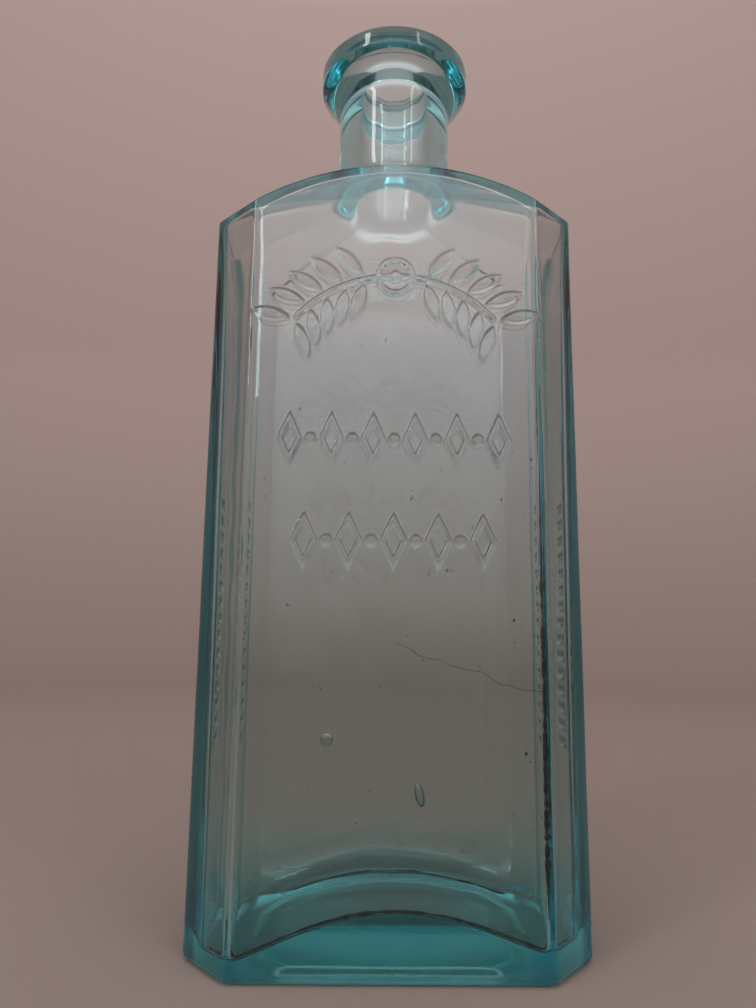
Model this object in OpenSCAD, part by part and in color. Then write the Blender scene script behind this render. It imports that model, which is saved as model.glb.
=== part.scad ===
// Medicine bottle: a mould-blown rectangular body with cut corners and an arched shoulder, and a
// separate ring of glass wrapped round the top of its neck as the lip. Upright, origin at the
// centre of the base, front panel facing -Y.

/* [Body] */
// Height from the base to the top of the lip
bottle_h = 187; // [170:1:210]
// Width across the two side panels
body_w = 75; // [68:1:84]
// Depth from the front panel to the back panel
body_d = 40; // [36:1:46]
// Width that each cut corner takes from the front panel
corner_w = 9.2; // [6:0.1:11]
// Depth that each cut corner takes from the side panel
corner_d = 10.6; // [8:0.1:12]
// Height of the side panels, where the shoulder starts
side_h = 144.4; // [140:0.1:146]
// Height of the arched top edge of the front panel, at its middle
arch_h = 151.5; // [149:0.5:153]

/* [Glass] */
// Thickness of the front and back panels
wall = 2.3; // [1.8:0.1:3]
// Thickness of the side panels at the shoulder
side_wall = 3; // [2.4:0.1:4]
// Thickness of the side panels at the foot
foot_wall = 4.8; // [3:0.1:6]
// Height of the cavity's floor at its corners
floor_low = 3.9; // [3.6:0.1:5]
// Height of the floor's crown, in the middle
floor_high = 10.6; // [9:0.1:12]
// Depth of the recess under the base
recess_depth = 1.4; // [0.8:0.1:2]

/* [Neck and lip] */
// Outside diameter of the neck
neck_dia = 24.8; // [23:0.1:26]
// Bore of the neck, where a cork goes
bore_dia = 15.6; // [12:0.1:17]
// Height where the neck leaves the shoulder
neck_root_h = 156; // [155:0.5:158]
// Outside diameter of the lip's band
lip_dia = 33.5; // [31:0.1:36]
// Height of the lip's upright band
band_h = 4.4; // [3.6:0.1:6]
// Height of the taper under the band
skirt_h = 3.7; // [3:0.1:7]
// Height of the undercut where the lip turns in to the neck
undercut_h = 2.6; // [1:0.1:3]

/* [Ornament] */
// How far the raised ornament stands out of a panel
relief = 0.6; // [0.3:0.05:0.7]
// Height of the upper garland's crown over the ends of its stem
garland_rise = 9; // [6:0.5:9]
// Height of the two lower bands of ornament
lozenge_h = 11.2; // [8:0.1:12]
// Width of a raised line
line_w = 1.2; // [0.8:0.1:1.6]

/* [Hidden] */
glass_colour = [0.55, 0.78, 0.76];
overlap = 0.5;
shoulder_facets = 64;

// Outline of the body: half width and half depth, and half the front panel between the corners
half_w = body_w / 2;
half_d = body_d / 2;
front_half = half_w - corner_w;

// Circle of the arched top edge of the front panel, through its middle and its two corners
arch_rise = arch_h - side_h;
arch_r = (front_half * front_half + arch_rise * arch_rise) / (2 * arch_rise);

// Neck, bore and the mouth of the bore inside the shoulder
neck_r = neck_dia / 2;
bore_r = bore_dia / 2;
root_flare = 1.8;
shoulder_glass = 4.6;
bore_bottom_h = neck_root_h - shoulder_glass;
bore_mouth_r = bore_r + 3;
bore_mouth_h = 5;

// Lip
lip_r = lip_dia / 2;
lip_bevel = 1.1;
skirt_top_r = lip_r - 0.35;
skirt_foot_r = neck_r + 1.45;

// Floor of the cavity: a crown along Y whose top is floor_high, falling to floor_low at floor_half
floor_half = front_half - 3;
floor_rise = floor_high - floor_low;
floor_r = (floor_half * floor_half + floor_rise * floor_rise) / (2 * floor_rise);

// Recess under the base
recess_half_w = front_half - 4;
recess_half_d = half_d - 7.5;

// Heights of the garland's crown and of the middle of the two bands below it
garland_z = 0.684 * bottle_h;
middle_band_z = 0.508 * bottle_h;
lower_band_z = 0.405 * bottle_h;

// Circle of the garland's stem, and the leaves in pairs along each half of it
garland_half = 0.69 * front_half;
stem_r = (garland_half * garland_half + garland_rise * garland_rise) / (2 * garland_rise);
leaf_pairs = 5;
leaf_w = 2.8;
gap = 0.3;
leaf_h = 0.285 * front_half;
leaf_lean = 30;
bead_r = 1.2;

// Outline of the body, drawn inset by the thickness of its panels and of its sides
module body_outline(panel_inset, side_inset) {
    w = half_w - side_inset;
    d = half_d - panel_inset;
    // A cut corner keeps its slope, so the inner corner faces lie parallel to the outer ones
    f = front_half - panel_inset * 0.52;
    s = d - (w - f) * corner_d / corner_w;
    polygon([[f, d], [w, s], [w, -s], [f, -d], [-f, -d], [-w, -s], [-w, s], [-f, d]]);
}

// Vaulted middle of the shoulder, whose ends are the arched edges of the front and back panels
module shoulder_vault(inset) {
    intersection() {
        translate([0, half_d - inset, arch_h - arch_r])
            rotate([90, 0, 0])
                cylinder(h = body_d - 2 * inset, r = arch_r - inset, $fn = 4 * shoulder_facets);
        translate([-front_half + inset * 0.52, -half_d, side_h - inset - 1])
            cube([2 * front_half - inset * 1.04, body_d, arch_rise + 2]);
    }
}

// Shoulder: it rises from the eight panels to the vault and the root of the neck
module shoulder(panel_inset, side_inset, top_h, top_r) {
    hull() {
        translate([0, 0, side_h - panel_inset - 1])
            linear_extrude(1)
                body_outline(panel_inset, side_inset);
        shoulder_vault(panel_inset);
        translate([0, 0, top_h - 1])
            cylinder(h = 1, r = top_r, $fn = shoulder_facets);
    }
}

// Inside of the bottle below the neck, with its crowned floor
module cavity() {
    difference() {
        union() {
            hull() {
                translate([0, 0, floor_low])
                    linear_extrude(1)
                        body_outline(wall, foot_wall);
                translate([0, 0, side_h - wall - 1])
                    linear_extrude(1)
                        body_outline(wall, side_wall);
            }
            shoulder(wall, side_wall, bore_bottom_h, bore_mouth_r);
        }
        translate([0, half_d, floor_high - floor_r])
            rotate([90, 0, 0])
                cylinder(h = body_d, r = floor_r);
    }
}

// Shallow recess that leaves a flat rim to stand on
module base_recess() {
    flat_half_w = recess_half_w - corner_w / 2;
    translate([0, 0, -overlap])
        linear_extrude(recess_depth + overlap)
            polygon([
                [recess_half_w, recess_half_d / 2], [recess_half_w, -recess_half_d / 2],
                [flat_half_w, -recess_half_d], [-flat_half_w, -recess_half_d],
                [-recess_half_w, -recess_half_d / 2], [-recess_half_w, recess_half_d / 2],
                [-flat_half_w, recess_half_d], [flat_half_w, recess_half_d]
            ]);
}

// Neck with its flared root
module neck_outside() {
    translate([0, 0, neck_root_h - overlap])
        cylinder(h = bottle_h - neck_root_h + overlap, r = neck_r);
    translate([0, 0, neck_root_h - overlap])
        cylinder(h = root_flare + overlap, r1 = neck_r + root_flare, r2 = neck_r);
}

module neck_bore() {
    translate([0, 0, bore_bottom_h - overlap])
        cylinder(h = bottle_h - bore_bottom_h + 2 * overlap, r = bore_r);
    translate([0, 0, bore_bottom_h - overlap])
        cylinder(h = bore_mouth_h, r1 = bore_mouth_r, r2 = bore_r);
}

// Places its child on the front panel, lying flat, with its height along +Z
module on_front(x, z) {
    translate([x, -half_d + overlap, z])
        rotate([90, 0, 0])
            linear_extrude(overlap + relief)
                children();
}

// Lozenge drawn as a raised outline
module lozenge(w, h) {
    inner = 1 - 2 * line_w * norm([w, h]) / (w * h);
    difference() {
        polygon([[w / 2, 0], [0, h / 2], [-w / 2, 0], [0, -h / 2]]);
        polygon([[inner * w / 2, 0], [0, inner * h / 2], [-inner * w / 2, 0], [0, -inner * h / 2]]);
    }
}

// Pointed leaf between two arcs, standing on its lower tip
module leaf(w, h) {
    r = (h * h / 4 + w * w / 4) / w;
    translate([0, h / 2])
        intersection() {
            translate([r - w / 2, 0])
                circle(r);
            translate([w / 2 - r, 0])
                circle(r);
        }
}

module bead_ring(r) {
    difference() {
        circle(r);
        circle(r - line_w);
    }
    circle(bead_r);
}

// Row of lozenges with a bead between each two
module lozenge_band(z, span, count) {
    step = span / count;
    for (i = [0 : count - 1])
        on_front((i + 0.5) * step - span / 2, z)
            lozenge(step - 2 * bead_r - 2 * gap, lozenge_h);
    for (i = [1 : count - 1])
        on_front(i * step - span / 2, z)
            circle(bead_r);
}

// Arched stem with leaves in pairs, leaning away from a ring with a bead at its crown
module garland() {
    reach = asin(garland_half / stem_r);
    edge = 2 * stem_r * tan(reach);
    on_front(0, garland_z - stem_r)
        intersection() {
            difference() {
                circle(stem_r + line_w / 2);
                circle(stem_r - line_w / 2);
            }
            polygon([[0, 0], [-edge, 2 * stem_r], [edge, 2 * stem_r]]);
        }
    for (side = [-1, 1])
        for (i = [1 : leaf_pairs])
            for (up = [0, 1])
                on_front(0, garland_z - stem_r)
                    rotate(-side * reach * (i + 0.4) / (leaf_pairs + 0.4))
                        translate([0, stem_r])
                            rotate(up == 1 ? -side * leaf_lean : side * leaf_lean - 180)
                                translate([0, line_w / 2 + gap])
                                    leaf(leaf_w, leaf_h);
    on_front(0, garland_z)
        bead_ring(4);
}

// Raised bars down the middle of a side panel
module side_bars(side) {
    bars = 15;
    pitch = 3.4;
    bar_w = 6;
    low = bottle_h / 3 - bars / 2 * pitch;
    for (i = [0 : bars - 1])
        translate([side > 0 ? half_w - overlap : -half_w - relief, -bar_w / 2, low + i * pitch])
            cube([overlap + relief, bar_w, line_w]);
}

module glass_body() {
    color(glass_colour, 0.5)
        difference() {
            union() {
                linear_extrude(side_h - 1 + overlap)
                    body_outline(0, 0);
                shoulder(0, 0, neck_root_h, neck_r + root_flare);
                neck_outside();
                garland();
                lozenge_band(middle_band_z, 2 * front_half - 9, 6);
                lozenge_band(lower_band_z, 2 * front_half - 15, 5);
                side_bars(-1);
                side_bars(1);
            }
            cavity();
            neck_bore();
            base_recess();
        }
}

// Ring of glass wrapped round the neck: an upright band over a taper that meets the neck
module applied_lip() {
    band_low = bottle_h - band_h;
    skirt_low = band_low - skirt_h;
    lip_low = skirt_low - undercut_h;
    color(glass_colour, 0.5)
        rotate_extrude()
            polygon([
                [neck_r, bottle_h], [lip_r - lip_bevel, bottle_h],
                [lip_r, bottle_h - lip_bevel], [lip_r, band_low + lip_bevel],
                [skirt_top_r, band_low], [skirt_foot_r, skirt_low], [neck_r, lip_low]
            ]);
}

glass_body();
applied_lip();
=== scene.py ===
"""Aqua glass medicine bottle: mould-blown body with cut corners, arched shoulder and applied ring lip."""

import math

import bpy
import numpy as np
from mathutils import Matrix, Vector


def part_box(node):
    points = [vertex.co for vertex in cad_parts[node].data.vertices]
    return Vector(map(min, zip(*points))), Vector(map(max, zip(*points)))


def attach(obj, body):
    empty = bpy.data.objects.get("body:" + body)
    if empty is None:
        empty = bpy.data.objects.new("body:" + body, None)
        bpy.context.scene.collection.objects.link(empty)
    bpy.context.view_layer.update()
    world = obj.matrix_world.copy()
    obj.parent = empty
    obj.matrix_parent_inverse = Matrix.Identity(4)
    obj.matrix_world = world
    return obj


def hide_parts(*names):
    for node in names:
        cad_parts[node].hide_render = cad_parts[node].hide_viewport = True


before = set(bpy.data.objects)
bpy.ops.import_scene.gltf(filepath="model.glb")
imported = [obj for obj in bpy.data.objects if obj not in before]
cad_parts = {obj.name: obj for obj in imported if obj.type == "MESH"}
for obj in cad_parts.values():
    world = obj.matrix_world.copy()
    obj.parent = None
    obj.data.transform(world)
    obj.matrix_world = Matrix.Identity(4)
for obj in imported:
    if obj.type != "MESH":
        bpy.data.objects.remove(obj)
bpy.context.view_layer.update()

# ---------------------------------------------------------------- sizes, in millimetres
MM = 0.001
body_high = np.array(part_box("glass_body")[1]) / MM
lip_low, lip_high = (np.array(corner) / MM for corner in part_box("applied_lip"))

HEIGHT = lip_high[2]
RELIEF = 0.6                                   # how far the ornament stands out
HALF_W = body_high[0] - RELIEF                 # to the side panels
HALF_D = body_high[1]                          # to the plain back panel
CORNER_W, CORNER_D = 9.2, 10.6                 # what a cut corner takes from the front and the side
FRONT_HALF = HALF_W - CORNER_W                 # where the front panel meets the cut corners
SIDE_HALF = HALF_D - CORNER_D                  # where the side panels meet the cut corners
CORNER_H, SIDE_H, ARCH_H = 144.4, 145.5, 152.1 # shoulder's edge: front corners, sides, front middle
SHOULDER_LEAN = 0.02                           # the shoulder rises a little to the right
LIP_R = lip_high[0]
LIP_FOOT = lip_low[2]
BAND_FOOT = HEIGHT - 4.4                       # foot of the lip's upright band
SKIRT_FOOT = LIP_FOOT + 2.6                    # foot of the lip's taper, over its undercut
NECK_R = 12.4
NECK_ROOT = 156.0
BORE_R = 7.8
BORE_MOUTH_H = NECK_ROOT - 3.6                 # where the bore opens into the body
WALL = 2.3                                     # thickness of the front and back panels
SHOULDER_WALL = 1.6                            # thickness of the panels just under the shoulder
SIDE_WALL = 3.0                                # thickness of the side panels at the shoulder
FOOT_WALL = 4.8                                # thickness of the side panels at the foot
FLOOR_LOW, FLOOR_CROWN = 3.9, 6.85             # cavity's floor at its corners, and its crown over them
FLOOR_DROP, FLOOR_LEAN = 1.7, 0.03             # the crown is lower at the back and leans to the right
FLOOR_HALF = 27.0                              # half the width of the crown
RECESS_DEPTH = 1.4                             # of the hollow under the base

# Ornament: raised lines, beads and lozenges, and the heights of the garland and the two bands
LINE, GAP, BEAD_R, LOZENGE_H = 1.2, 0.3, 1.2, 11.2
GARLAND_Z, MIDDLE_BAND_Z, LOWER_BAND_Z = 0.684 * HEIGHT, 0.508 * HEIGHT, 0.405 * HEIGHT

COLUMNS = 480                                  # points round every ring of the glass
FINE = 8192                                    # points of an outline before its columns are picked


# ---------------------------------------------------------------- small helpers
def smoothstep(low, high, x):
    t = np.clip((x - low) / (high - low), 0.0, 1.0)
    return t * t * (3.0 - 2.0 * t)


def waves(points, seed, wavelength, count=10):
    """Smooth random field, about -1 to 1, as a sum of plane waves. points is (n, 3) in millimetres."""
    rng = np.random.default_rng(seed)
    total = np.zeros(len(points))
    for _ in range(count):
        direction = rng.normal(size=3)
        direction /= np.linalg.norm(direction)
        k = 2.0 * math.pi / (wavelength * rng.uniform(0.7, 1.6))
        total += np.sin(points @ direction * k + rng.uniform(0, 2 * math.pi))
    return total / math.sqrt(count)


def make_object(name, verts_mm, faces, material):
    mesh = bpy.data.meshes.new(name)
    mesh.from_pydata((np.asarray(verts_mm) * MM).tolist(), [], faces)
    mesh.validate()
    mesh.shade_smooth()
    mesh.materials.append(material)
    obj = bpy.data.objects.new(name, mesh)
    bpy.context.scene.collection.objects.link(obj)
    return obj


# ---------------------------------------------------------------- plan outlines
def column_picks():
    """Which of an outline's FINE points are columns: twice as close across the front panel."""
    place = np.arange(FINE) / FINE
    weight = np.where(np.abs(place - 0.75) < 0.155, 2.0, 1.0)
    total = np.cumsum(weight)
    return np.searchsorted(total / total[-1], (np.arange(COLUMNS) + 0.5) / COLUMNS)


PICKS = column_picks()


def octagon_loop(half_w, half_d, front_half, side_half, rounding):
    """Octagon with soft corners as (COLUMNS, 2) points, from the middle of the +X side."""
    corners = np.array([
        [half_w, 0], [half_w, side_half], [front_half, half_d], [-front_half, half_d],
        [-half_w, side_half], [-half_w, -side_half], [-front_half, -half_d],
        [front_half, -half_d], [half_w, -side_half], [half_w, 0],
    ])
    lengths = np.r_[0, np.cumsum(np.hypot(*np.diff(corners, axis=0).T))]
    step = lengths[-1] / FINE
    s = np.arange(FINE) * step
    loop = np.stack([np.interp(s, lengths, corners[:, k]) for k in (0, 1)], axis=1)
    blur = np.exp(-2.0 * (math.pi * np.fft.fftfreq(FINE, d=step) * rounding) ** 2)
    loop = np.stack([np.fft.ifft(np.fft.fft(loop[:, k]) * blur).real for k in (0, 1)], axis=1)
    return loop[PICKS]


def circle_loop(radius):
    a = PICKS * 2 * math.pi / FINE
    return np.stack([radius * np.cos(a), radius * np.sin(a)], axis=1)


def inner_loop(half_w, half_d, front_half, rounding=1.1):
    """Octagon inside the walls, whose cut corners lie parallel to the outer ones."""
    side_half = half_d - (half_w - front_half) * CORNER_D / CORNER_W
    return octagon_loop(half_w, half_d, front_half, side_half, rounding)


OUTER = octagon_loop(HALF_W, HALF_D, FRONT_HALF, SIDE_HALF, 0.55)
HEEL = octagon_loop(HALF_W - 1.0, HALF_D - 1.0, FRONT_HALF - 0.5, SIDE_HALF - 0.4, 0.8)
RECESS = octagon_loop(FRONT_HALF - 4.0, HALF_D - 7.5, FRONT_HALF - 8.6, HALF_D - 13.7, 0.9)
INNER_FOOT = inner_loop(HALF_W - FOOT_WALL, HALF_D - WALL, FRONT_HALF - 1.2)
INNER_TOP = inner_loop(HALF_W - SIDE_WALL, HALF_D - WALL, FRONT_HALF - 1.2)
INNER_EDGE = inner_loop(HALF_W - 1.8, HALF_D - SHOULDER_WALL, FRONT_HALF - 0.8)
INNER_SIZE = np.array([HALF_W - FOOT_WALL, HALF_D - WALL])


# ---------------------------------------------------------------- heights that follow the plan
def shoulder_edge(x):
    """Height of the shoulder's edge: an arch over the front panel, rising over the cut corners."""
    rise = ARCH_H - CORNER_H
    radius = (FRONT_HALF ** 2 + rise ** 2) / (2 * rise)
    from_middle = np.minimum(np.abs(x), FRONT_HALF)
    arch = ARCH_H - radius + np.sqrt(np.maximum(radius ** 2 - from_middle ** 2, 0))
    across = np.clip((np.abs(x) - FRONT_HALF) / (HALF_W - FRONT_HALF), 0, 1)
    return arch + (SIDE_H - CORNER_H) * across + SHOULDER_LEAN * x


def cavity_floor(x, y):
    """Height of the cavity's floor: a crown across the width, a little lower at the back."""
    crown = np.maximum(1 - (x / FLOOR_HALF) ** 2, 0) ** 1.3
    depth = (y + HALF_D) / (2 * HALF_D)
    return FLOOR_LOW + FLOOR_LEAN * x + (FLOOR_CROWN - FLOOR_DROP * depth) * crown


def floor_fillet(y):
    """Reach and height of the curve from the wall to the floor: tight in front, broad at the back."""
    back = smoothstep(-2.0, HALF_D - 3.0, y)
    return 1.2 + 6.3 * back, 1.2 + 9.3 * back


# ---------------------------------------------------------------- profile with rounded corners
def rounded_path(stations, cuts, steps):
    """Rings of points along a path through stations, each a (columns, 3) array of points.

    Corner j is rounded from cuts[j] millimetres before it to the same after it. steps[j] is the number
    of rings laid along the straight stretch after station j, or the fractions where they lie.
    """
    corner_rings = 7
    rings = []
    for j in range(len(stations) - 1):
        a, b = stations[j], stations[j + 1]
        along = b - a
        length = np.linalg.norm(along, axis=1, keepdims=True)
        unit = along / np.maximum(length, 1e-9)
        start = a + unit * np.minimum(cuts[j], 0.48 * length)
        end = b - unit * np.minimum(cuts[j + 1], 0.48 * length)
        if j > 0:
            for t in np.arange(1, corner_rings) / corner_rings:
                rings.append((1 - t) ** 2 * last_end + 2 * t * (1 - t) * a + t * t * start)
        fractions = np.arange(steps[j] + 1) / steps[j] if np.isscalar(steps[j]) else steps[j]
        for t in fractions:
            rings.append((1 - t) * start + t * end)
        last_end = end
    return rings


def station(loop, height):
    z = np.broadcast_to(height, (len(loop),)) if np.isscalar(height) else height
    return np.column_stack([loop, z])


def wall_fractions():
    """Places of the rings up the outside wall: closest where the front panel has ornament."""
    below, side_bars = np.arange(0, 34, 1.6), np.arange(34, 68, 0.5)
    ornament, above = np.arange(68, 139, 0.32), np.arange(139, 147, 1.6)
    heights = np.r_[below, side_bars, ornament, above]
    return heights / heights[-1]


# ---------------------------------------------------------------- ornament on the front panel
def lozenge_distance(x, z, w, h):
    """Signed distance, roughly, to a lozenge drawn as a raised line: negative inside the line."""
    scale = w * h / math.hypot(w, h) / 2
    edge = (np.abs(x) / (w / 2) + np.abs(z) / (h / 2) - 1) * scale
    return np.abs(edge + LINE / 2) - LINE / 2


def leaf_distance(x, z, w, h):
    """Signed distance to a pointed leaf standing on the origin, between two arcs."""
    r = (h * h / 4 + w * w / 4) / w
    z = z - h / 2
    left = np.hypot(x - (r - w / 2), z) - r
    right = np.hypot(x - (w / 2 - r), z) - r
    return np.maximum(left, right)


def turned(x, z, degrees):
    a = math.radians(degrees)
    return x * math.cos(a) + z * math.sin(a), -x * math.sin(a) + z * math.cos(a)


def lozenge_band(x, z, centre, span, count):
    """Signed distance to a row of lozenges with a bead between each two."""
    step = span / count
    width = step - 2 * BEAD_R - 2 * GAP
    nearest = np.full(len(x), 99.0)
    for i in range(count):
        cx = (i + 0.5) * step - span / 2
        nearest = np.minimum(nearest, lozenge_distance(x - cx, z - centre, width, LOZENGE_H))
    for i in range(1, count):
        cx = i * step - span / 2
        nearest = np.minimum(nearest, np.hypot(x - cx, z - centre) - BEAD_R)
    return nearest


def garland(x, z, crown_z, rise=9.0, pairs=5, leaf_w=2.8, lean=30, ring_r=4.0):
    """Arched stem with leaves in pairs, leaning away from a ring with a bead at its crown."""
    half = 0.69 * FRONT_HALF
    leaf_h = 0.285 * FRONT_HALF
    stem_r = (half ** 2 + rise ** 2) / (2 * rise)
    reach = math.degrees(math.asin(half / stem_r))
    below = z - (crown_z - stem_r)
    from_stem = np.abs(np.hypot(x, below) - stem_r) - LINE / 2
    past_end = (np.abs(np.degrees(np.arctan2(x, below))) - reach) * stem_r * math.pi / 180
    nearest = np.maximum(from_stem, past_end)
    for side in (-1, 1):
        for i in range(1, pairs + 1):
            foot_x, foot_z = turned(x, below, -side * reach * (i + 0.4) / (pairs + 0.4))
            for turn in (-side * lean, side * lean - 180):
                px, pz = turned(foot_x, foot_z - stem_r, turn)
                nearest = np.minimum(nearest, leaf_distance(px, pz - LINE / 2 - GAP, leaf_w, leaf_h))
    from_crown = np.hypot(x, z - crown_z)
    nearest = np.minimum(nearest, np.abs(from_crown - ring_r + LINE / 2) - LINE / 2)
    return np.minimum(nearest, from_crown - BEAD_R)


def ornament_height(x, z):
    """How far the ornament stands out of the front panel at each point, in millimetres."""
    span = 2 * FRONT_HALF
    d = garland(x, z, GARLAND_Z)
    d = np.minimum(d, lozenge_band(x, z, MIDDLE_BAND_Z, span - 9, 6))
    d = np.minimum(d, lozenge_band(x, z, LOWER_BAND_Z, span - 15, 5))
    return RELIEF * (1.0 - smoothstep(-0.32, 0.04, d))


def side_ornament_height(y, z, bars=15, pitch=3.4, bar_w=6.0):
    """Raised bars up the middle of the side panels."""
    low = HEIGHT / 3 - bars / 2 * pitch
    place = (z - low) / pitch
    from_bar = np.abs((place - np.floor(place)) * pitch - LINE / 2) - LINE / 2
    across = 1.0 - smoothstep(-0.4, 0.1, np.abs(y) - bar_w / 2)
    along = (place > 0) & (place < bars)
    return RELIEF * across * along * (1.0 - smoothstep(-0.55, 0.45, from_bar))


# ---------------------------------------------------------------- the glass
def outside_rings():
    """From the middle of the recess under the base, up the outside and over the lip to the bore."""
    edge = shoulder_edge(OUTER[:, 0])
    front = smoothstep(0.0, 1.0, (np.abs(OUTER[:, 1]) - SIDE_HALF) / (HALF_D - SIDE_HALF))
    half_way = 0.5 * OUTER + 0.5 * circle_loop(NECK_R + 1.0)
    half_height = 0.5 * edge + 0.5 * (NECK_ROOT - 0.8) + 0.8 * (1 - front)
    stations = [
        station(RECESS * 0.02, RECESS_DEPTH),
        station(RECESS * 0.5, RECESS_DEPTH),
        station(RECESS * 0.94, RECESS_DEPTH - 0.1),
        station(RECESS * 1.04, 0.0),
        station(HEEL, 0.0),
        station(OUTER, 0.9),
        station(OUTER, edge),
        station(half_way, half_height),
        station(circle_loop(NECK_R), NECK_ROOT - 0.4),
        station(circle_loop(NECK_R), LIP_FOOT + 0.1),
        station(circle_loop(NECK_R + 1.45), SKIRT_FOOT),
        station(circle_loop(LIP_R - 0.35), BAND_FOOT - 0.4),
        station(circle_loop(LIP_R), BAND_FOOT + 0.5),
        station(circle_loop(LIP_R), HEIGHT),
        station(circle_loop(BORE_R), HEIGHT),
    ]
    cuts = [0, 2, 1.0, 0.9, 0.5, 0.7, 0.45, 2.5, 3.0, 1.0, 1.2, 0.4, 0.4, 0.7, 1.0]
    steps = [3, 4, 2, 4, 1, wall_fractions(), 8, 8, 18, 2, 8, 1, 3, 4]
    return rounded_path(stations, cuts, steps)


def inside_rings():
    """From the top of the bore, down the inside to the middle of the cavity's floor."""
    edge = shoulder_edge(OUTER[:, 0])
    fillet_reach, fillet_height = floor_fillet(INNER_FOOT[:, 1])
    half_way = 0.5 * INNER_EDGE + 0.5 * circle_loop(BORE_R + 1)
    inner_edge = edge - 0.9
    stations = [
        station(circle_loop(BORE_R), HEIGHT),
        station(circle_loop(BORE_R), BORE_MOUTH_H),
        station(half_way, 0.5 * inner_edge + 0.5 * BORE_MOUTH_H + 0.4),
        station(INNER_EDGE, inner_edge),
        station(INNER_TOP, edge - 12),
        station(INNER_FOOT, cavity_floor(*INNER_FOOT.T) + fillet_height),
    ]
    cuts = [1.0, 3.0, 5.0, 0.8, 5.0, 0]
    steps = [20, 5, 6, 6, 66]
    rings = rounded_path(stations, cuts, steps)
    fillet_rings = 16
    for a in np.arange(1, fillet_rings + 1) / fillet_rings * math.pi / 2:
        reach = fillet_reach * (1 - max(math.cos(a), 0.0) ** 0.8)
        loop = INNER_FOOT * (1 - reach[:, None] / INNER_SIZE)
        rings.append(station(loop, cavity_floor(*loop.T) + fillet_height * (1 - math.sin(a) ** 0.8)))
    for shrink in (0.93, 0.85, 0.76, 0.66, 0.55, 0.43, 0.31, 0.2, 0.1, 0.02):
        smaller = loop * shrink
        rings.append(station(smaller, cavity_floor(*smaller.T)))
    return rings


def waviness(points, inside):
    """Moves the smooth surface as hand-blown glass is uneven; it leaves the base rim and the lip true."""
    x, y, z = points.T
    body = smoothstep(2, 12, z) * (1 - smoothstep(146, 152, z))
    upper = smoothstep(150, 156, z) * (1 - smoothstep(HEIGHT - 16, HEIGHT - 11, z))
    outward = np.column_stack([x, y * HALF_W / HALF_D, np.zeros(len(x))])
    outward /= np.maximum(np.linalg.norm(outward, axis=1, keepdims=True), 1e-6)
    seed = 21 if inside else 7
    long_wave = waves(points * [1, 1, 0.45], seed, 17)
    short_wave = waves(points * [1, 1, 0.6], seed + 1, 6)
    if inside:
        flat = smoothstep(0.4, 0.8, np.abs(x) / HALF_W)
        amount = -body * ((0.07 - 0.05 * flat) * long_wave + (0.025 - 0.015 * flat) * short_wave)
        streaks = waves(points * [1, 1, 0.12], seed + 2, 4.5)
        amount = np.clip(amount - upper * 0.06 * streaks, -0.4, 0.4)
    else:
        amount = np.minimum(-body * (0.05 + 0.02 * long_wave + 0.005 * short_wave), 0.0)
    return outward * amount[:, None]


def bubble(centre, sizes, lean, sides=14, stacks=9):
    """Closed ellipsoid whose faces look inwards, so that it is a hole in the glass."""
    verts = [(0.0, 0.0, sizes[2])]
    for j in range(1, stacks):
        a = math.pi * j / stacks
        across = math.sin(a)
        for i in range(sides):
            b = 2 * math.pi * i / sides
            x, y = sizes[0] * across * math.cos(b), sizes[1] * across * math.sin(b)
            verts.append((x, y, sizes[2] * math.cos(a)))
    verts.append((0.0, 0.0, -sizes[2]))
    faces = []
    last = len(verts) - 1
    for i in range(sides):
        k = (i + 1) % sides
        faces.append([0, 1 + k, 1 + i])
        faces.append([last, last - sides + i, last - sides + k])
        for j in range(stacks - 2):
            low = 1 + j * sides
            faces.append([low + i, low + k, low + sides + k, low + sides + i])
    c, s = math.cos(lean), math.sin(lean)
    placed = []
    for x, y, z in verts:
        placed.append((centre[0] + c * x + s * z, centre[1] + y, centre[2] - s * x + c * z))
    return placed, faces


def bubbles():
    """A tear, a faint round one, and seeds scattered through the front and back panels."""
    front, back = WALL / 2 - HALF_D, HALF_D - WALL / 2
    found = [
        bubble((5.0, front, 30.9), (0.85, 0.5, 2.1), math.radians(-12)),
        bubble((-11.6, front, 40.1), (1.1, 0.25, 1.1), 0.0),
    ]
    rng = np.random.default_rng(11)
    for _ in range(70):
        depth = front if rng.random() < 0.6 else back
        place = (rng.uniform(-26, 26), depth + rng.uniform(-0.3, 0.3), rng.uniform(14, 140))
        r = 0.1 + 0.25 * rng.random() ** 3
        found.append(bubble(place, (r, r, r * rng.uniform(1.0, 2.2)), rng.uniform(-0.5, 0.5), 8, 6))
    return found


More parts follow.
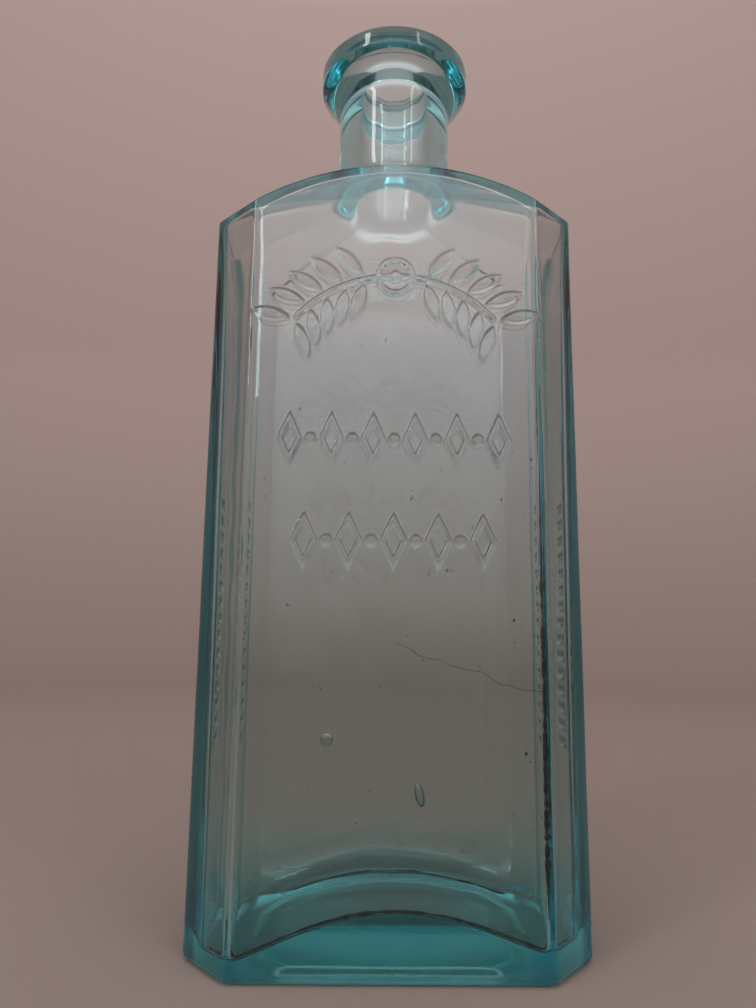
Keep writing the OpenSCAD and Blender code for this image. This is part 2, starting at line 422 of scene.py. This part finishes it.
def glass_mesh():
    """The whole bottle as one closed skin, with the bubbles as closed holes inside it."""
    outside = np.array(outside_rings())
    inside = np.array(inside_rings())[1:]
    rings = len(outside) + len(inside)
    out_points = outside.reshape(-1, 3)
    in_points = inside.reshape(-1, 3)
    x, y, z = out_points.T
    on_front = (y < -HALF_D + 0.6) & (z > 20) & (z < CORNER_H - 4)
    on_side = (np.abs(x) > HALF_W - 0.6) & (np.abs(y) < SIDE_HALF)
    front_lift = ornament_height(x, z) * on_front
    side_lift = side_ornament_height(y, z) * on_side
    out_points = out_points + waviness(out_points, False)
    out_points[:, 1] -= front_lift
    out_points[:, 0] += np.sign(x) * side_lift
    in_points = in_points + waviness(in_points, True)
    points = np.vstack([out_points, in_points])
    low = np.arange(rings - 1)[:, None] * COLUMNS
    here = low + np.arange(COLUMNS)[None, :]
    beside = low + np.roll(np.arange(COLUMNS), -1)[None, :]
    quads = np.stack([here, beside, beside + COLUMNS, here + COLUMNS], axis=-1).reshape(-1, 4)
    faces = quads.tolist()
    faces.append(list(range(COLUMNS))[::-1])
    faces.append(list(range((rings - 1) * COLUMNS, rings * COLUMNS)))
    points = points.tolist()
    for verts, bubble_faces in bubbles():
        first = len(points)
        points.extend(verts)
        faces.extend([[first + k for k in face] for face in bubble_faces])
    return points, faces


# ---------------------------------------------------------------- shader nodes
def new_material(name):
    material = bpy.data.materials.new(name)
    material.use_nodes = True
    return material, material.node_tree


def place_in(tree):
    """The object's own X, Y and Z, in metres, as sockets."""
    coordinates = tree.nodes.new("ShaderNodeTexCoord")
    split = tree.nodes.new("ShaderNodeSeparateXYZ")
    tree.links.new(coordinates.outputs["Object"], split.inputs["Vector"])
    return split.outputs


def graded(tree, value, start, end, low=0.0, high=1.0):
    """low to high as a value goes from start to end."""
    node = tree.nodes.new("ShaderNodeMapRange")
    node.inputs["From Min"].default_value = start
    node.inputs["From Max"].default_value = end
    node.inputs["To Min"].default_value = low
    node.inputs["To Max"].default_value = high
    tree.links.new(value, node.inputs["Value"])
    return node.outputs["Result"]


def ramp(tree, value, stops):
    """Colour that follows a value from 0 to 1 through (place, colour) stops, in rising order."""
    node = tree.nodes.new("ShaderNodeValToRGB")
    elements = node.color_ramp.elements
    elements[0].position, elements[0].color = stops[0]
    elements[1].position, elements[1].color = stops[-1]
    for place, colour in stops[1:-1]:
        elements.new(place).color = colour
    tree.links.new(value, node.inputs["Fac"])
    return node.outputs["Color"]


def grey(value):
    return (value, value, value, 1)


def product(tree, first, second):
    """Product of two sockets, or of a socket and a number."""
    node = tree.nodes.new("ShaderNodeMath")
    node.operation = "MULTIPLY"
    tree.links.new(first, node.inputs[0])
    if isinstance(second, float):
        node.inputs[1].default_value = second
    else:
        tree.links.new(second, node.inputs[1])
    return node.outputs["Value"]


def size_of(tree, value):
    """Value without its sign."""
    node = tree.nodes.new("ShaderNodeMath")
    node.operation = "ABSOLUTE"
    tree.links.new(value, node.inputs[0])
    return node.outputs["Value"]


def mixed(tree, factor, first, second):
    """From the first colour to the second, each a socket or a plain colour."""
    node = tree.nodes.new("ShaderNodeMix")
    node.data_type = "RGBA"
    tree.links.new(factor, node.inputs["Factor"])
    for name, colour in (("A", first), ("B", second)):
        if isinstance(colour, tuple):
            node.inputs[name].default_value = colour
        else:
            tree.links.new(colour, node.inputs[name])
    return node.outputs["Result"]


# ---------------------------------------------------------------- the glass, and painted shade in its surface colour
def painted_shade_tint(tree, place):
    """Surface colour with tuned stops that change with height: the body is darkened as painted shade, and
    the neck is left nearly clear.

    The strip of each cut corner beside the side panel is painted darker, a painted shade.
    """
    # Painted shade by height: the body is darkened and the neck left nearly clear.
    shaded_body = ramp(tree, graded(tree, place["Z"], 0.0, HEIGHT * MM), (
        (0.0, (0.50, 0.74, 0.74, 1)),
        (0.035, (0.55, 0.97, 0.98, 1)),
        (0.10, (0.78, 0.83, 0.81, 1)),
        (0.20, (0.75, 0.785, 0.765, 1)),
        (0.35, (0.86, 0.88, 0.865, 1)),
        (0.60, (0.78, 0.785, 0.79, 1)),
        (0.8, (1.0, 0.95, 0.94, 1)),
    ))
    # Painted shade: darkens the strip of each cut corner beside the side panel to deep teal.
    near_side = graded(tree, size_of(tree, place["X"]), (HALF_W - 3.2) * MM, (HALF_W - 2.4) * MM)
    on_corner = graded(tree, size_of(tree, place["Y"]), (SIDE_HALF - 0.4) * MM, (SIDE_HALF + 0.4) * MM)
    return mixed(tree, product(tree, near_side, on_corner), shaded_body, (0.06, 0.35, 0.38, 1))


def scuffing(tree, place):
    """Rough at the base, smooth over the body and slightly hazy at the shoulder."""
    stops = []
    for height, rough in ((0.8, 0.35), (3, 0.0), (140, 0.0), (148, 0.12), (155, 0.12), (160, 0.03)):
        stops.append((height / HEIGHT, grey(rough)))
    stops.append((1.0, grey(0.03)))
    return ramp(tree, graded(tree, place["Z"], 0.0, HEIGHT * MM), stops)


def glass_material():
    """Clear glass tinted through its thickness, so it is deepest where the light goes far inside it."""
    material, tree = new_material("aqua_glass")
    nodes, links = tree.nodes, tree.links
    nodes.clear()
    output = nodes.new("ShaderNodeOutputMaterial")
    shader = nodes.new("ShaderNodeBsdfPrincipled")
    shader.inputs["Transmission Weight"].default_value = 1.0
    shader.inputs["IOR"].default_value = 1.51
    place = place_in(tree)
    # The surface colour carries painted shade: darker over the body and on the corner strips.
    links.new(painted_shade_tint(tree, place), shader.inputs["Base Color"])
    links.new(scuffing(tree, place), shader.inputs["Roughness"])
    absorption = nodes.new("ShaderNodeVolumeAbsorption")
    absorption.inputs["Color"].default_value = (0.02, 0.79, 0.85, 1)
    absorption.inputs["Density"].default_value = 50.0
    links.new(shader.outputs["BSDF"], output.inputs["Surface"])
    links.new(absorption.outputs["Volume"], output.inputs["Volume"])
    return material


bottle = make_object("bottle_glass", *glass_mesh(), glass_material())
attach(bottle, "root")
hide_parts("glass_body", "applied_lip")


# ---------------------------------------------------------------- marks of age, and painted shade in the front crease
def tube(path, radii, sides=6):
    """Closed tube round a path of points; radii holds one radius a point."""
    path = np.asarray(path)
    along = np.gradient(path, axis=0)
    along /= np.linalg.norm(along, axis=1, keepdims=True)
    side = np.cross(along, [0.0, 1.0, 0.0])
    side /= np.linalg.norm(side, axis=1, keepdims=True)
    third = np.cross(side, along)
    verts = []
    for k in range(len(path)):
        for i in range(sides):
            a = 2 * math.pi * i / sides
            verts.append(path[k] + radii[k] * (side[k] * math.cos(a) + third[k] * math.sin(a)))
    faces = []
    for k in range(len(path) - 1):
        for i in range(sides):
            j = (i + 1) % sides
            faces.append([k * sides + i, k * sides + j, (k + 1) * sides + j, (k + 1) * sides + i])
    faces.append(list(range(sides))[::-1])
    faces.append(list(range((len(path) - 1) * sides, len(path) * sides)))
    return verts, faces


def deposit_material(name, dark, pale):
    """Dry dirt: a dark and a paler colour mixed in fine patches, quite rough."""
    material, tree = new_material(name)
    nodes, links = tree.nodes, tree.links
    shader = nodes["Principled BSDF"]
    shader.inputs["Roughness"].default_value = 0.9
    coordinates = nodes.new("ShaderNodeTexCoord")
    noise = nodes.new("ShaderNodeTexNoise")
    noise.inputs["Scale"].default_value = 1500.0
    noise.inputs["Detail"].default_value = 4.0
    links.new(coordinates.outputs["Object"], noise.inputs["Vector"])
    patches = ramp(tree, noise.outputs["Fac"], ((0.4, dark), (0.62, pale)))
    links.new(patches, shader.inputs["Base Color"])
    bump = nodes.new("ShaderNodeBump")
    bump.inputs["Strength"].default_value = 0.5
    bump.inputs["Distance"].default_value = 0.0001
    links.new(noise.outputs["Fac"], bump.inputs["Height"])
    links.new(bump.outputs["Normal"], shader.inputs["Normal"])
    return material


def inner_wall(column, z):
    """Point on the inside of the wall over a column, and the directions along the wall and off it."""
    floor = cavity_floor(0, 0)
    up = np.clip((z - floor) / (ARCH_H - 12 - floor), 0, 1)
    loop = (1 - up) * INNER_FOOT + up * INNER_TOP
    xy = np.array([np.interp(column, np.arange(COLUMNS), loop[:, k]) for k in (0, 1)])
    ahead = np.array([np.interp(column + 1, np.arange(COLUMNS), loop[:, k]) for k in (0, 1)])
    along = (ahead - xy) / np.linalg.norm(ahead - xy)
    point = np.array([xy[0], xy[1], z])
    point = point + waviness(point[None, :], True)[0]
    return point, np.array([along[0], along[1], 0.0]), np.array([-along[1], along[0], 0.0])


def streak(x_place, low, high, width, seed):
    """Ragged ribbon of dirt lying up the inside of the wall's front right corner."""
    nearest = np.where(INNER_FOOT[:, 1] < 0, np.abs(INNER_FOOT[:, 0] - x_place), 99.0)
    column = float(np.argmin(nearest))
    rng = np.random.default_rng(seed)
    heights = np.arange(low, high, 0.35)
    knots = np.arange(low - 1, high + 2, 0.7)
    ragged = np.interp(heights, knots, rng.uniform(0.15, 1.0, len(knots)))
    verts = []
    for k, z in enumerate(heights):
        part = (z - low) / (high - low)
        taper = min(1.0, part * 12, (1 - part) * 8) + 0.05
        half = 0.5 * width * ragged[k] * taper * (1.25 - 0.75 * part)
        thick = 0.05 + 0.2 * half
        point, along, into = inner_wall(column, z)
        for across, lift in ((-1, -0.04), (-0.5, thick), (0.5, thick), (1, -0.04)):
            verts.append(point + along * across * half + into * lift)
    faces = []
    for k in range(len(heights) - 1):
        for i in range(4):
            j = (i + 1) % 4
            faces.append([4 * k + i, 4 * k + j, 4 * k + 4 + j, 4 * k + 4 + i])
    faces.append([3, 2, 1, 0])
    end = 4 * (len(heights) - 1)
    faces.append([end, end + 1, end + 2, end + 3])
    return verts, faces


def speck(column, z, size, seed):
    """Small flat crumb of dirt on the inside of the wall."""
    rng = np.random.default_rng(seed)
    point, along, into = inner_wall(column, z)
    sides = 9
    verts = [point + into * (0.02 + 0.25 * size)]
    for i in range(sides):
        a = 2 * math.pi * i / sides
        r = size * rng.uniform(0.6, 1.1)
        upwards = np.array([0, 0, 1.6 * r * math.sin(a)])
        verts.append(point + into * 0.04 + along * r * math.cos(a) + upwards)
    faces = [[0, 1 + i, 1 + (i + 1) % sides] for i in range(sides)]
    faces.append(list(range(1, sides + 1))[::-1])
    return verts, faces


def crease_line():
    """Thread in the crease between the front wall and the floor: partly dirt, partly a dark line of
    painted shade along the crease.
    """
    off_glass = 0.62
    path = []
    for column in np.flatnonzero((INNER_FOOT[:, 1] < -11) & (np.abs(INNER_FOOT[:, 0]) < 31)):
        x, y = INNER_FOOT[column]
        point, _, into = inner_wall(float(column), cavity_floor(x, y) + off_glass)
        path.append(point + into * off_glass)
    path = np.array(path)
    radii = 0.31 + 0.06 * waves(path, 51, 2.5) + 0.08 * waves(path, 52, 9)
    return tube(path, np.clip(radii, 0.08, 0.45))


def tide_line():
    """Thread of dirt across the floor near its back."""
    from_back = 5.8
    x = np.linspace(-22, 25, 160)
    y = np.full(len(x), HALF_D - WALL - from_back)
    path = np.column_stack([x, y, cavity_floor(x, y) + 0.3])
    radii = 0.13 + 0.05 * waves(path, 61, 3) + 0.12 * smoothstep(20, 24, x)
    return tube(path, np.clip(radii, 0.03, 0.3))


def joined(parts):
    verts, faces = [], []
    for part_verts, part_faces in parts:
        first = len(verts)
        verts.extend(part_verts)
        faces.extend([[first + k for k in face] for face in part_faces])
    return verts, faces


def dried_residue_and_crease_shade():
    """Streaks up the front right corner, a thread of dirt and painted shade in the front crease, a thread
    of dirt across the floor, and specks all over the inside.
    """
    parts = [streak(27.6, 10, 92, 1.1, 3), streak(32.2, 8, 100, 0.6, 4), streak(27.3, 92, 118, 0.35, 5)]
    # The thread in the front crease is partly dirt and partly painted shade.
    parts.append(crease_line())
    parts.append(tide_line())
    rng = np.random.default_rng(17)
    right_front = np.flatnonzero((INNER_FOOT[:, 1] < -9) & (INNER_FOOT[:, 0] > 20))
    for k in range(46):
        column = float(rng.choice(right_front))
        parts.append(speck(column, rng.uniform(9, 125), 0.08 + 0.22 * rng.random() ** 3, 100 + k))
    all_round = np.arange(COLUMNS - 2)
    for k in range(50):
        column = float(rng.choice(all_round))
        parts.append(speck(column, rng.uniform(12, 135), 0.05 + 0.14 * rng.random() ** 3, 200 + k))
    return joined(parts)


def hairline_crack():
    """Fine wandering line in the middle of the front panel's glass."""
    x = np.linspace(0.5, 27.5, 80)
    z = np.interp(x, [0.5, 14, 27.5], [56.4, 52.3, 48.4])
    points = np.column_stack([x, np.full(len(x), WALL / 2 - HALF_D), z])
    points[:, 2] += 0.45 * waves(points, 31, 9) + 0.12 * waves(points, 32, 2.5)
    radii = 0.035 + 0.02 * waves(points, 33, 3)
    return tube(points, np.maximum(radii, 0.02))


def lip_seam():
    """Fold line where the lip's glass was wrapped over the neck: a fine thread inside the glass."""
    a = np.linspace(math.pi * 0.94, math.pi * 2.06, 120)
    fold_r, fold_h = 14.7, BAND_FOOT - 0.6
    points = np.column_stack([fold_r * np.cos(a), fold_r * np.sin(a), np.full(len(a), fold_h)])
    points[:, 2] += 0.12 * waves(points, 41, 9)
    radii = np.maximum(0.05 + 0.03 * waves(points, 42, 4), 0.015)
    return tube(points, radii)


# This dark dirt material also paints the shade in the front crease.
dirt = deposit_material("dried_dirt_and_crease_shade", (0.012, 0.012, 0.011, 1), (0.05, 0.045, 0.04, 1))
shadow_line = deposit_material("fine_line", (0.02, 0.03, 0.03, 1), (0.06, 0.07, 0.07, 1))
for name, shape, look in (
    ("dried_residue_and_crease_shade", dried_residue_and_crease_shade(), dirt),
    ("hairline_crack", hairline_crack(), shadow_line),
    ("lip_seam", lip_seam(), shadow_line),
):
    mark = make_object(name, *shape, look)
    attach(mark, "root")


# ---------------------------------------------------------------- floor and backdrop
WALL_R, WALL_TOP, BEND_R = 1.3, 2.4, 0.6       # the backdrop's wall and the bend at its foot, in metres
DAYLIGHT = (0.94, 0.97, 1.0, 1)


def pale_material():
    """Pale matt card, a little darker on the floor as painted shade. High up it glows softly, like a lit
    ceiling.
    """
    material, tree = new_material("pale_backdrop")
    shader = tree.nodes["Principled BSDF"]
    shader.inputs["Roughness"].default_value = 0.9
    height = place_in(tree)["Z"]
    # The floor colour is darker than the wall's: painted shade, darkest at the bottom of the backdrop.
    shaded_floor_colour, wall_colour = (0.285, 0.222, 0.196, 1), (0.43, 0.33, 0.305, 1)
    card = mixed(tree, graded(tree, height, 0.0, 0.5), shaded_floor_colour, wall_colour)
    tree.links.new(card, shader.inputs["Base Color"])
    ceiling = product(tree, graded(tree, height, 1.4, 1.8), 0.3)
    tree.links.new(ceiling, shader.inputs["Emission Strength"])
    shader.inputs["Emission Color"].default_value = DAYLIGHT
    return material


def window_material():
    """Clear sheet that glows on its front, most at 0.9 m, and fades out at its sides and foot."""
    material, tree = new_material("window_light")
    nodes, links = tree.nodes, tree.links
    nodes.clear()
    output = nodes.new("ShaderNodeOutputMaterial")
    place = place_in(tree)
    stops = []
    for height, glow in ((0.0, 0.0), (0.9, 1.0), (1.4, 0.1), (WALL_TOP, 0.1)):
        stops.append((height / WALL_TOP, grey(glow)))
    by_height = ramp(tree, graded(tree, place["Z"], 0.0, WALL_TOP), stops)
    by_side = graded(tree, place["Y"], -0.5, -0.95)
    side = nodes.new("ShaderNodeNewGeometry")
    on_front = graded(tree, side.outputs["Backfacing"], 0.0, 1.0, 2.5, 0.0)
    emission = nodes.new("ShaderNodeEmission")
    emission.inputs["Color"].default_value = DAYLIGHT
    links.new(product(tree, product(tree, by_side, by_height), on_front), emission.inputs["Strength"])
    clear = nodes.new("ShaderNodeBsdfTransparent")
    both = nodes.new("ShaderNodeAddShader")
    links.new(emission.outputs["Emission"], both.inputs[0])
    links.new(clear.outputs["BSDF"], both.inputs[1])
    links.new(both.outputs["Shader"], output.inputs["Surface"])
    return material


def bowl_profile(inset):
    """The bend and the wall of the bowl as (radius, height) points, moved inwards by inset."""
    profile = []
    for a in np.linspace(0, math.pi / 2, 17):
        r = BEND_R - inset
        profile.append((WALL_R - BEND_R + r * math.sin(a), BEND_R - r * math.cos(a)))
    profile.append((WALL_R - inset, WALL_TOP))
    return profile


def window():
    """Curved sheet of light in front of the wall that the bottle's front panel faces."""
    angles = np.radians(np.linspace(-158, -22, 49))
    profile = bowl_profile(0.01)
    verts = []
    for r, z in profile:
        for a in angles:
            verts.append((r * math.cos(a) / MM, r * math.sin(a) / MM, z / MM))
    count = len(angles)
    faces = []
    for j in range(len(profile) - 1):
        for i in range(count - 1):
            low = j * count + i
            faces.append([low, low + count, low + count + 1, low + 1])
    obj = make_object("window_light", verts, faces, window_material())
    obj.visible_camera = False
    return obj


def backdrop():
    """Floor that curves up into a wall all round, so every view has the same plain background."""
    profile = [(0.001, 0.0), (0.1, 0.0), (0.3, 0.0), *bowl_profile(0)]
    count = 96
    verts = []
    for r, z in profile:
        for i in range(count):
            a = 2 * math.pi * i / count
            verts.append((r * math.cos(a) / MM, r * math.sin(a) / MM, (z - 0.0001) / MM))
    faces = []
    for j in range(len(profile) - 1):
        for i in range(count):
            k = (i + 1) % count
            faces.append([j * count + i, j * count + k, (j + 1) * count + k, (j + 1) * count + i])
    faces.append(list(range(count))[::-1])
    return make_object("backdrop", verts, faces, pale_material())


backdrop()
window()


# ---------------------------------------------------------------- light
def area_light(name, place, target, size, size_y, power):
    light = bpy.data.lights.new(name, "AREA")
    light.shape = "RECTANGLE"
    light.size = size
    light.size_y = size_y
    light.energy = power
    obj = bpy.data.objects.new(name, light)
    bpy.context.scene.collection.objects.link(obj)
    obj.location = place
    obj.rotation_mode = "QUATERNION"
    obj.rotation_quaternion = (Vector(target) - Vector(place)).to_track_quat("-Z", "Y")
    return obj


softbox = area_light("overhead_softbox", (0, -0.2, 2.1), (0, 1.3, 1.2), 1.2, 1.2, 15)
softbox.visible_glossy = False
softbox.visible_transmission = False
softbox.visible_camera = False
for name, place, width, power in (
    ("left_strip", (-0.57, -0.59, 0.62), 0.10, 1.2),
    ("right_strip", (0.47, -0.67, 0.62), 0.06, 0.35),
):
    strip = area_light(name, place, (0, 0, 0.15), width, 0.5, power)
    strip.visible_camera = False

world = bpy.data.worlds.new("studio")
bpy.context.scene.world = world
world.use_nodes = True
world.node_tree.nodes["Background"].inputs["Color"].default_value = (0.95, 0.97, 1.0, 1)
world.node_tree.nodes["Background"].inputs["Strength"].default_value = 0.35


# ---------------------------------------------------------------- camera
CAMERA_SIDE = -4.41                            # left of the bottle's middle
CAMERA_AWAY = 139.54                           # in front of the front panel
CAMERA_HEIGHT = 58.84                          # above the base
PITCH, YAW, ROLL = 9.65, 0.614, -0.661         # upwards, to the right and tilted, in degrees
SENSOR_WIDTH, FOCAL_LENGTH = 36.0, 27.143


def camera():
    data = bpy.data.cameras.new("camera")
    data.sensor_width = SENSOR_WIDTH
    data.lens = FOCAL_LENGTH
    data.clip_start = 0.01
    data.clip_end = 20
    obj = bpy.data.objects.new("camera", data)
    bpy.context.scene.collection.objects.link(obj)
    pitch, yaw, roll = math.radians(PITCH), math.radians(YAW), math.radians(ROLL)
    forward = Vector((math.sin(yaw) * math.cos(pitch), math.cos(yaw) * math.cos(pitch), math.sin(pitch)))
    right = forward.cross(Vector((0, 0, 1))).normalized()
    up = right.cross(forward)
    turned_right = right * math.cos(roll) - up * math.sin(roll)
    turned_up = right * math.sin(roll) + up * math.cos(roll)
    basis = Matrix((turned_right, turned_up, -forward)).transposed().to_4x4()
    basis.translation = Vector((CAMERA_SIDE, -HALF_D - CAMERA_AWAY, CAMERA_HEIGHT)) * MM
    obj.matrix_world = basis
    return obj


scene = bpy.context.scene
scene.camera = camera()
scene.view_settings.view_transform = "Standard"
scene.cycles.max_bounces = 32
scene.cycles.transmission_bounces = 32
scene.cycles.glossy_bounces = 16
